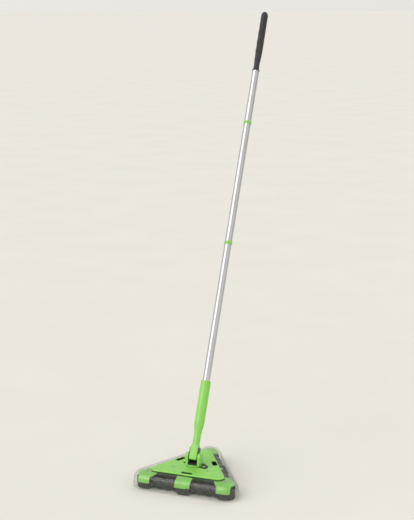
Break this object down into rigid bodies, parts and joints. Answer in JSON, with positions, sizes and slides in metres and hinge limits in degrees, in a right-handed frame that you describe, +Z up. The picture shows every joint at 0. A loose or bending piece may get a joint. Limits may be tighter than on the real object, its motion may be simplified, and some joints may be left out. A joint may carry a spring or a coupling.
{
  "type": "carpet sweeper",
  "caption": "Cordless triangular carpet sweeper: three geared brush rollers under a clear hood, a dust tray and a tall handle that tilts and swivels on the deck.",
  "frame": {"origin": "centre of the triangular head on the floor, under the swivel's axis", "axes": "+Z up, -Y towards the user (front side of the head), +X to the right along the front side"},
  "size_m": [0.2776, 0.7036, 1.1686],
  "materials": {
    "lime_plastic": "gloss",
    "clear_plastic": "gloss",
    "black_plastic": "satin",
    "bristle": "matte",
    "pole_metal": "polished",
    "steel": "satin",
    "gear_plastic": "satin",
    "soft_rubber": "matte",
    "cell_sleeve": "gloss",
    "board_green": "satin"
  },
  "bodies": {
    "head": {"hood": "clear_plastic", "deck": "lime_plastic", "corner_cap_right": "lime_plastic", "corner_cap_back": "lime_plastic", "corner_cap_left": "lime_plastic", "gear_cover": "lime_plastic", "gear_arm_front": "black_plastic", "gear_arm_right": "black_plastic", "gear_arm_left": "black_plastic", "corner_block_right": "black_plastic", "corner_block_back": "black_plastic", "corner_block_left": "black_plastic", "glide_feet": "black_plastic", "edge_brushes": "bristle", "chassis": "black_plastic", "screws": "steel", "battery_cells": "cell_sleeve", "battery_holder": "black_plastic", "circuit_board": "board_green", "charging_socket": "black_plastic", "motor": "steel", "crown_axle": "steel", "switch_body": "black_plastic"},
    "tray": {"dust_tray": "clear_plastic"},
    "crown": {"crown_gear": "gear_plastic"},
    "motor_pinion": {"motor_pinion": "gear_plastic"},
    "foot_switch": {"switch_cap": "black_plastic"},
    "swivel": {"swivel_base": "lime_plastic", "swivel_retainer": "black_plastic", "stop_buffer": "soft_rubber", "hinge_pin": "steel"},
    "handle": {"knuckle": "black_plastic", "lower_tube": "lime_plastic", "pole_lower": "pole_metal", "pole_middle": "pole_metal", "pole_upper": "pole_metal", "joint_ring_lower": "lime_plastic", "joint_ring_upper": "lime_plastic", "grip": "soft_rubber"},
    "shaft_front": {"drive_shaft_front": "steel", "shaft_pinions_front": "gear_plastic"},
    "roller_front": {"roller_axle_front": "steel", "roller_core_front": "black_plastic", "roller_gear_front": "gear_plastic", "bristles_front": "bristle"},
    "shaft_right": {"drive_shaft_right": "steel", "shaft_pinions_right": "gear_plastic"},
    "roller_right": {"roller_axle_right": "steel", "roller_core_right": "black_plastic", "roller_gear_right": "gear_plastic", "bristles_right": "bristle"},
    "shaft_left": {"drive_shaft_left": "steel", "shaft_pinions_left": "gear_plastic"},
    "roller_left": {"roller_axle_left": "steel", "roller_core_left": "black_plastic", "roller_gear_left": "gear_plastic", "bristles_left": "bristle"}
  },
  "joints": [
    {"name": "roller_front_spin", "type": "hinge", "parent": "head", "child": "roller_front", "pos_m": [0, -0.069, 0.0169], "axis": [1, 0, 0], "continuous": true},
    {"name": "roller_right_spin", "type": "hinge", "parent": "head", "child": "roller_right", "pos_m": [0.05976, 0.0345, 0.0169], "axis": [-0.5, 0.866, 0], "continuous": true},
    {"name": "roller_left_spin", "type": "hinge", "parent": "head", "child": "roller_left", "pos_m": [-0.05976, 0.0345, 0.0169], "axis": [-0.5, -0.866, 0], "continuous": true},
    {"name": "shaft_front_spin", "type": "hinge", "parent": "head", "child": "shaft_front", "pos_m": [0, -0.03, 0.0169], "axis": [0, -1, 0], "continuous": true},
    {"name": "shaft_right_spin", "type": "hinge", "parent": "head", "child": "shaft_right", "pos_m": [0.02598, 0.015, 0.0169], "axis": [0.866, 0.5, 0], "continuous": true},
    {"name": "shaft_left_spin", "type": "hinge", "parent": "head", "child": "shaft_left", "pos_m": [-0.02598, 0.015, 0.0169], "axis": [-0.866, 0.5, 0], "continuous": true},
    {"name": "crown_spin", "type": "hinge", "parent": "head", "child": "crown", "pos_m": [0, 0, 0.0245], "axis": [0, 0, 1], "continuous": true},
    {"name": "motor_spin", "type": "hinge", "parent": "head", "child": "motor_pinion", "pos_m": [0, 0.022, 0.0245], "axis": [0, 0, 1], "continuous": true},
    {"name": "handle_swivel", "type": "hinge", "parent": "head", "child": "swivel", "pos_m": [0, 0, 0.046], "axis": [0, 0, 1], "continuous": true},
    {"name": "handle_tilt", "type": "hinge", "parent": "swivel", "child": "handle", "pos_m": [0, 0, 0.068], "axis": [1, 0, 0], "range_deg": [0, 116]},
    {"name": "switch_press", "type": "slide", "parent": "head", "child": "foot_switch", "axis": [0, 0, -1], "range_m": [0, 0.0015], "stiffness_N_per_m": 400},
    {"name": "tray_release", "type": "slide", "parent": "head", "child": "tray", "axis": [0, 0, -1], "range_m": [0, 0.02]}
  ],
  "couplings": [
    {"joint": "roller_right_spin", "follows": "roller_front_spin", "ratio": 1},
    {"joint": "roller_left_spin", "follows": "roller_front_spin", "ratio": 1},
    {"joint": "shaft_front_spin", "follows": "roller_front_spin", "ratio": 2},
    {"joint": "shaft_right_spin", "follows": "roller_front_spin", "ratio": 2},
    {"joint": "shaft_left_spin", "follows": "roller_front_spin", "ratio": 2},
    {"joint": "crown_spin", "follows": "roller_front_spin", "ratio": -0.66667},
    {"joint": "motor_spin", "follows": "roller_front_spin", "ratio": 3}
  ]
}
